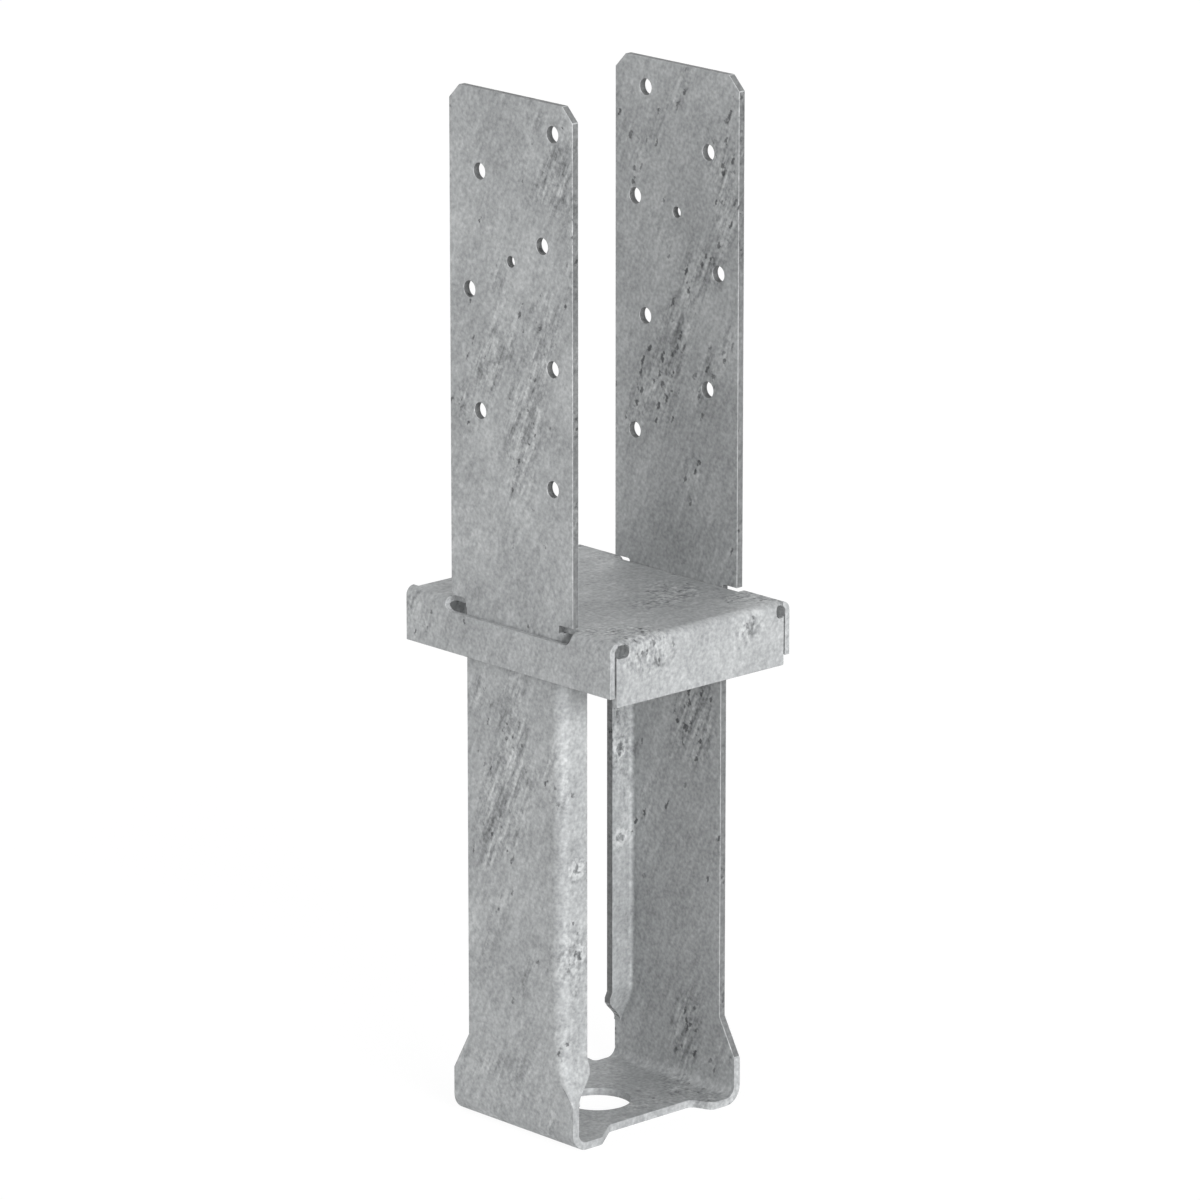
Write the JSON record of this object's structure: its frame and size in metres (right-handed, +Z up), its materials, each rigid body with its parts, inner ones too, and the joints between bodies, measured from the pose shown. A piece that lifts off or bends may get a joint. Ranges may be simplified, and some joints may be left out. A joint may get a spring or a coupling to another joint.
{
  "type": "timber post base",
  "caption": "Folded steel strap base that grips a square timber post between two upright tabs, with a stand-off plate above legs and a web that are cast into concrete.",
  "frame": {"origin": "under the middle of the bottom web, at the middle of the base's outline, on the web's underside", "axes": "+Z up along the post, +X from the near upright to the far one, +Y across the strip's width"},
  "size_m": [0.1028, 0.1264, 0.448],
  "materials": {
    "galvanised_strap": "hot-dip galvanised, dull and mottled",
    "galvanised_plate": "hot-dip galvanised, dull and mottled"
  },
  "bodies": {
    "root": {"strap": "galvanised_strap", "standoff_plate": "galvanised_plate"}
  },
  "joints": []
}
